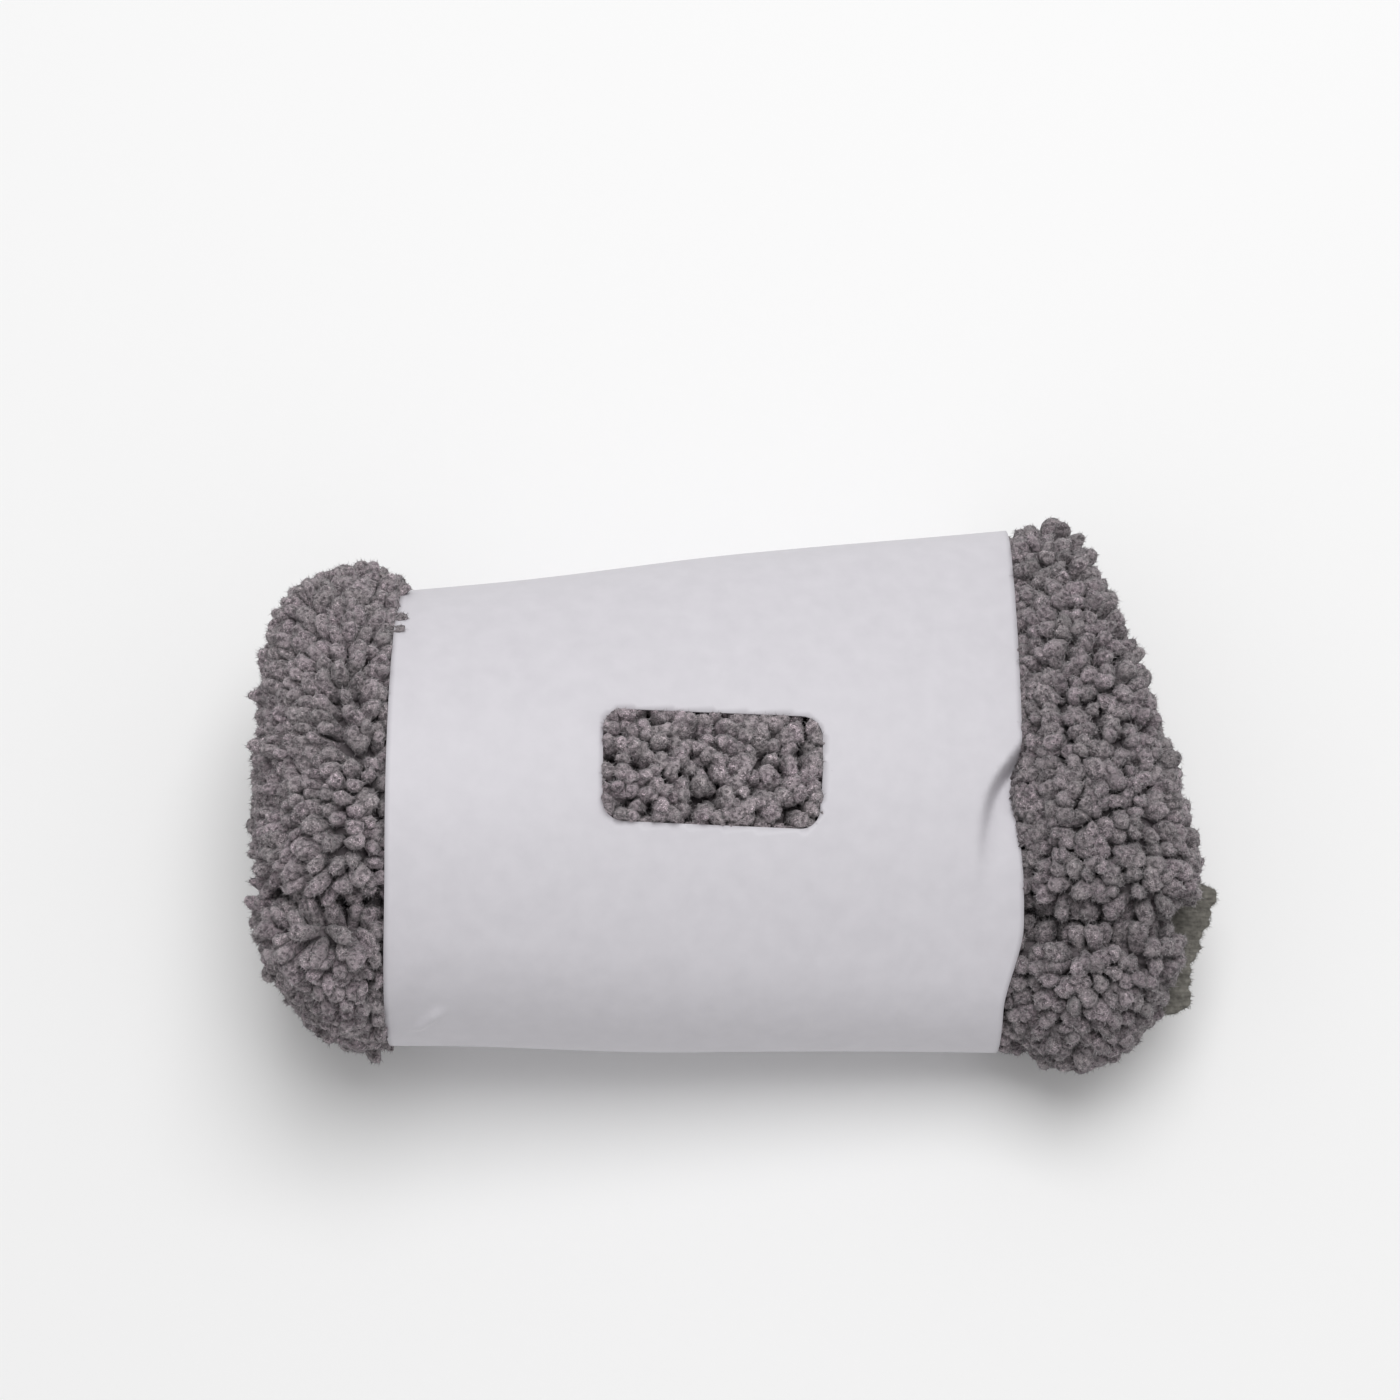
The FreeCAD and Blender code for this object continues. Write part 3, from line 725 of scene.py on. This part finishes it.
def lay_pile(points, tips, roots):
    """The tufts' points and tips after the card and the table have pressed on them, or they spill over it."""
    tip_covered, tip_depth, _ = under_card(tips)
    above = np.abs(tip_depth + SPILL_HEIGHT) < SPILL_RANGE
    spills = ~under_card(roots)[0] & tip_covered & above & over_edge(tips)
    laid = press(points.reshape(-1, 3)).reshape(points.shape)
    laid[spills] = spill(points[spills].reshape(-1, 3)).reshape(-1, *points.shape[1:])
    return laid, np.where(spills[:, None], tips, press(tips))


def tuft_faces():
    """Faces of one tuft: a closed skin with a fan at the tip and at the root."""
    faces = []
    for r in range(len(RINGS) - 1):
        for s in range(SIDES):
            e = (s + 1) % SIDES
            faces.append((r * SIDES + s, r * SIDES + e, (r + 1) * SIDES + e, (r + 1) * SIDES + s))
    quads = np.array(faces)
    tip = len(RINGS) * SIDES
    last = (len(RINGS) - 1) * SIDES
    cap = np.array([(last + s, last + (s + 1) % SIDES, tip) for s in range(SIDES)])
    base = np.array([((s + 1) % SIDES, s, tip + 1) for s in range(SIDES)])
    return quads, np.concatenate([cap, base])


def tuft_uv():
    """Where the corners of a tuft's faces lie in its own square: its rings, then its tip and its root."""
    turn, up = np.arange(SIDES) / SIDES, np.append(RINGS, 1.0)
    rings = [[(turn[s] + i / SIDES, up[r + j]) for i, j in ((0, 0), (1, 0), (1, 1), (0, 1))]
             for r in range(len(RINGS) - 1) for s in range(SIDES)]
    tip = [[(turn[s], up[-2]), (turn[s] + 1 / SIDES, up[-2]), (turn[s], 1.0)] for s in range(SIDES)]
    root = [[(turn[s] + 1 / SIDES, 0.0), (turn[s], 0.0), (turn[s], 0.02)] for s in range(SIDES)]
    return [np.array(rings).reshape(-1, 2), np.array(tip + root).reshape(-1, 2)]


def make_pile(node, roots, normals, variants, material, fibres):
    """All the tufts of one article, in as few pieces as the face limit allows, and their loose fibres."""
    points, tips, direction = grow_tufts(roots, normals, variants)
    points, tips = lay_pile(points, tips, roots)
    base = points[:, 0].mean(1)
    quads, fans = tuft_faces()
    per_tuft = len(RINGS) * SIDES + 2
    # heights: each point's share along its tuft, which the material turns into painted shade towards the
    # roots
    heights = np.concatenate([np.repeat(RINGS, SIDES), [1.0, 0.0]])
    at_left = smooth_step(LEFT + 4 * MM, LEFT - 8 * MM, roots[:, 0])
    # each tuft's random tone, plus painted light: tufts at the left end and in the window are made lighter
    tones_with_painted_light = rng.random(len(roots)) * 0.6 + 0.4 * np.maximum(at_left, window_corner(roots)[0])
    most = MOST_FACES // (2 * len(quads) + len(fans))
    for part, start in enumerate(range(0, len(roots), most)):
        chosen = slice(start, start + most)
        block = np.concatenate([points[chosen].reshape(-1, per_tuft - 2, 3), tips[chosen, None],
                                base[chosen, None]], axis=1)
        count = len(block)
        offset = np.arange(count)[:, None, None] * per_tuft
        faces = [(quads[None] + offset).reshape(-1, 4), (fans[None] + offset).reshape(-1, 3)]
        piece = new_piece(f"{node}_tufts_{part + 1}", block.reshape(-1, 3), faces, material, "bundle",
                          node)
        add_attribute(piece, "height", np.tile(heights, count))
        add_attribute(piece, "tone", np.repeat(tones_with_painted_light[chosen], per_tuft))
        add_cell_uv(piece, tuft_uv(), count)
    start, heading = fibres_on_tufts(points, direction, ~under_card(roots)[0])
    grow_fibres(node, node, start, heading, fibres)


def add_attribute(piece, name, values):
    """Give each point of a piece a value that its material can read."""
    attribute = piece.data.attributes.new(name, "FLOAT", "POINT")
    attribute.data.foreach_set("value", np.ascontiguousarray(values, dtype=np.float32))


def add_cell_uv(piece, blocks, count):
    """A layout with one small square for each of count equal parts; blocks follow the order of the faces."""
    across = math.ceil(math.sqrt(count))
    corner = np.stack([np.arange(count) % across, np.arange(count) // across], -1)[:, None]
    uv = np.concatenate([((corner + 0.06 + 0.88 * block[None]) / across).reshape(-1, 2) for block in blocks])
    layer = piece.data.uv_layers.new(name="OFBake")
    layer.data.foreach_set("uv", uv.astype(np.float32).ravel())


def fibres_on_tufts(points, direction, exposed):
    """Starts on the tufts' skins and the way each fibre points."""
    tuft = np.repeat(np.flatnonzero(exposed), FIBRES_PER_TUFT)
    ring = rng.integers(2, len(RINGS), len(tuft))
    side = rng.integers(0, SIDES, len(tuft))
    slide = rng.random((len(tuft), 1))
    start = points[tuft, ring, side] * slide + points[tuft, ring, (side + 1) % SIDES] * (1 - slide)
    outward = start - points[tuft, ring].mean(1)
    outward /= np.maximum(np.linalg.norm(outward, axis=1, keepdims=True), 1e-9)
    scatter = rng.normal(size=start.shape) * 0.75
    return start, 0.7 * outward + 0.7 * direction[tuft] + scatter


def grow_fibres(name, node, start, heading, material):
    """Loose fibres: thin closed needles."""
    heading = heading / np.linalg.norm(heading, axis=1, keepdims=True)
    length = rng.uniform(*FIBRE_LENGTHS, len(start)) * MM
    first, second = across_axes(heading)
    corners = np.arange(3) * 2 * math.pi / 3
    ring = np.cos(corners)[None, :, None] * first[:, None] + np.sin(corners)[None, :, None] * second[:, None]
    needles = np.concatenate([start[:, None] + ring * FIBRE_RADIUS,
                              (start + heading * length[:, None])[:, None]], axis=1)
    needles[..., 2] = np.maximum(needles[..., 2], 0.05 * MM)
    shape = np.array([(0, 1, 3), (1, 2, 3), (2, 0, 3), (2, 1, 0)])
    uv = np.array([(0.1, 0.1), (0.9, 0.1), (0.5, 0.3), (0.5, 0.9)])[shape].reshape(-1, 2)
    most = MOST_FACES // len(shape)
    for part, begin in enumerate(range(0, len(needles), most)):
        chosen = needles[begin:begin + most]
        faces = (shape[None] + np.arange(len(chosen))[:, None, None] * 4).reshape(-1, 3)
        piece = new_piece(f"{name}_fibres_{part + 1}", chosen.reshape(-1, 3), [faces], material, "bundle",
                          node)
        add_cell_uv(piece, [uv], len(chosen))


def can_see_out(roots, normals, walls):
    """True where a root isn't shut in between the two articles: one of 15 ways out from it is open."""
    first, second = across_axes(normals)
    open_ways = np.zeros(len(roots), dtype=int)
    for tilt, turns in ((0.0, 1), (0.7, 6), (1.1, 8)):
        for turn in range(turns):
            angle = 2 * math.pi * turn / turns
            aside = first * math.cos(angle) + second * math.sin(angle)
            ways = normals * math.cos(tilt) + aside * math.sin(tilt)
            for i, (root, way) in enumerate(zip(roots, ways)):
                start = Vector(root + normals[i] * 0.5 * MM)
                shut = any(wall.ray_cast(start, Vector(way), OPEN_REACH)[0] is not None for wall in walls)
                open_ways[i] += not shut
    return open_ways > 0


def make_articles():
    """Both fleece articles: knit ground, tufts and loose fibres."""
    # painted shade: the knit ground is coloured darker than the same knit at the hems, for the shade at the
    # bottom of the pile
    knit = knit_material("knit_ground_painted_shade", (0.10, 0.088, 0.093), (0.17, 0.150, 0.159), 1.2 * MM)
    pile, loose = pile_material(), fibre_material()
    variants = tuft_variants(TUFT_KINDS)
    grounds = {node: make_ground(node) for node in ("back_roll", "front_roll")}
    walls = {node: BVHTree.FromPolygons(points.tolist(), triangles.tolist())
             for node, (points, triangles) in grounds.items()}
    for node, (points, triangles) in grounds.items():
        ground = new_piece(f"{node}_ground", points, [triangles], knit, "bundle", node)
        roots, normals = spread_points(points, triangles, TUFT_SPACING)
        free = can_see_out(roots, normals, list(walls.values()))
        make_pile(node, roots[free], normals[free], variants, pile, loose)


def make_hem(name, node, widen, material):
    """A short plain edge of the fabric: the CAD tongue, softened, thinned to cloth and widened inwards."""
    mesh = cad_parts[node].data.copy()
    points, triangles = evaluated_mesh(mesh, [
        ("REMESH", {"mode": "VOXEL", "voxel_size": HEM_VOXEL}),
        ("SMOOTH", {"factor": 0.5, "iterations": 6}),
    ])
    steps, reach, _ = hem_edge(node)
    reach = np.interp(points[:, 1], steps, reach)
    ragged = sum(size * MM * np.sin(points[:, 1] / (run * MM)) for size, run in ((0.35, 0.9), (0.25, 0.37)))
    points[:, 0] = reach - (reach - points[:, 0]) * widen + ragged
    middle = points[:, 2].mean()
    ripple = 0.5 * MM * np.sin(points[:, 1] / (3.5 * MM))
    points[:, 2] = middle + (points[:, 2] - middle) * HEM_THICKNESS + ripple
    start, heading = spread_points(points, triangles, HEM_FIBRE_SPACING)
    scatter = rng.normal(size=start.shape) * 0.8
    grow_fibres(name, node, start, heading + scatter, material)
    piece = new_piece(name, points, [triangles], material, "bundle", node)


# ---------------------------------------------------------------- stage
def make_stage():
    """A plain pale floor under a white sky, and one large soft lamp overhead."""
    reach = 4.0
    corners = [(-reach, -reach, 0), (reach, -reach, 0), (reach, reach, 0), (-reach, reach, 0)]
    floor_mesh = bpy.data.meshes.new("floor")
    floor_mesh.from_pydata(corners, [], [(0, 1, 2, 3)])
    floor = bpy.data.objects.new("floor", floor_mesh)
    bpy.context.scene.collection.objects.link(floor)
    material, _, _, shader = new_material("pale_floor")
    set_inputs(shader, {"Base Color": (0.93, 0.93, 0.93, 1), "Roughness": 0.9})
    floor_mesh.materials.append(material)

    world = bpy.data.worlds.new("studio")
    world.use_nodes = True
    set_inputs(world.node_tree.nodes["Background"], {"Color": (1, 1, 1, 1), "Strength": 0.47})
    bpy.context.scene.world = world

    target, place = Vector((0, 0, 0.04)), Vector((0.1, 0.35, 1.3))
    lamp = bpy.data.lights.new("overhead_softbox", "AREA")
    lamp.size = 0.8
    lamp.energy = 11.0
    holder = bpy.data.objects.new("overhead_softbox", lamp)
    holder.location = place
    holder.rotation_euler = (target - place).to_track_quat("-Z", "Y").to_euler()
    bpy.context.scene.collection.objects.link(holder)


def make_camera():
    """Nearly straight down on the window from the front."""
    target = Vector((-8.4 * MM, 16.9 * MM, 35 * MM))
    elevation, distance, view_width = math.radians(75), 0.65, 0.280
    lens = bpy.data.cameras.new("camera")
    lens.sensor_width = 36
    lens.lens = 36 * distance / view_width
    camera = bpy.data.objects.new("camera", lens)
    away = Vector((0, -math.cos(elevation), math.sin(elevation)))
    camera.location = target + away * distance
    camera.rotation_euler = (-away).to_track_quat("-Z", "Y").to_euler()
    bpy.context.scene.collection.objects.link(camera)
    bpy.context.scene.camera = camera
    bpy.context.scene.view_settings.view_transform = "Standard"


make_camera()
make_stage()
make_card_sleeve(card_material())
make_glue_strip(glue_material())
make_articles()
hem_material = knit_material("plain_knit_edge", (0.125, 0.120, 0.107), (0.30, 0.288, 0.256), 0.9 * MM)
make_hem("back_article_hem", "back_hem", 2.2, hem_material)
make_hem("front_article_hem", "front_hem", 1.0, hem_material)
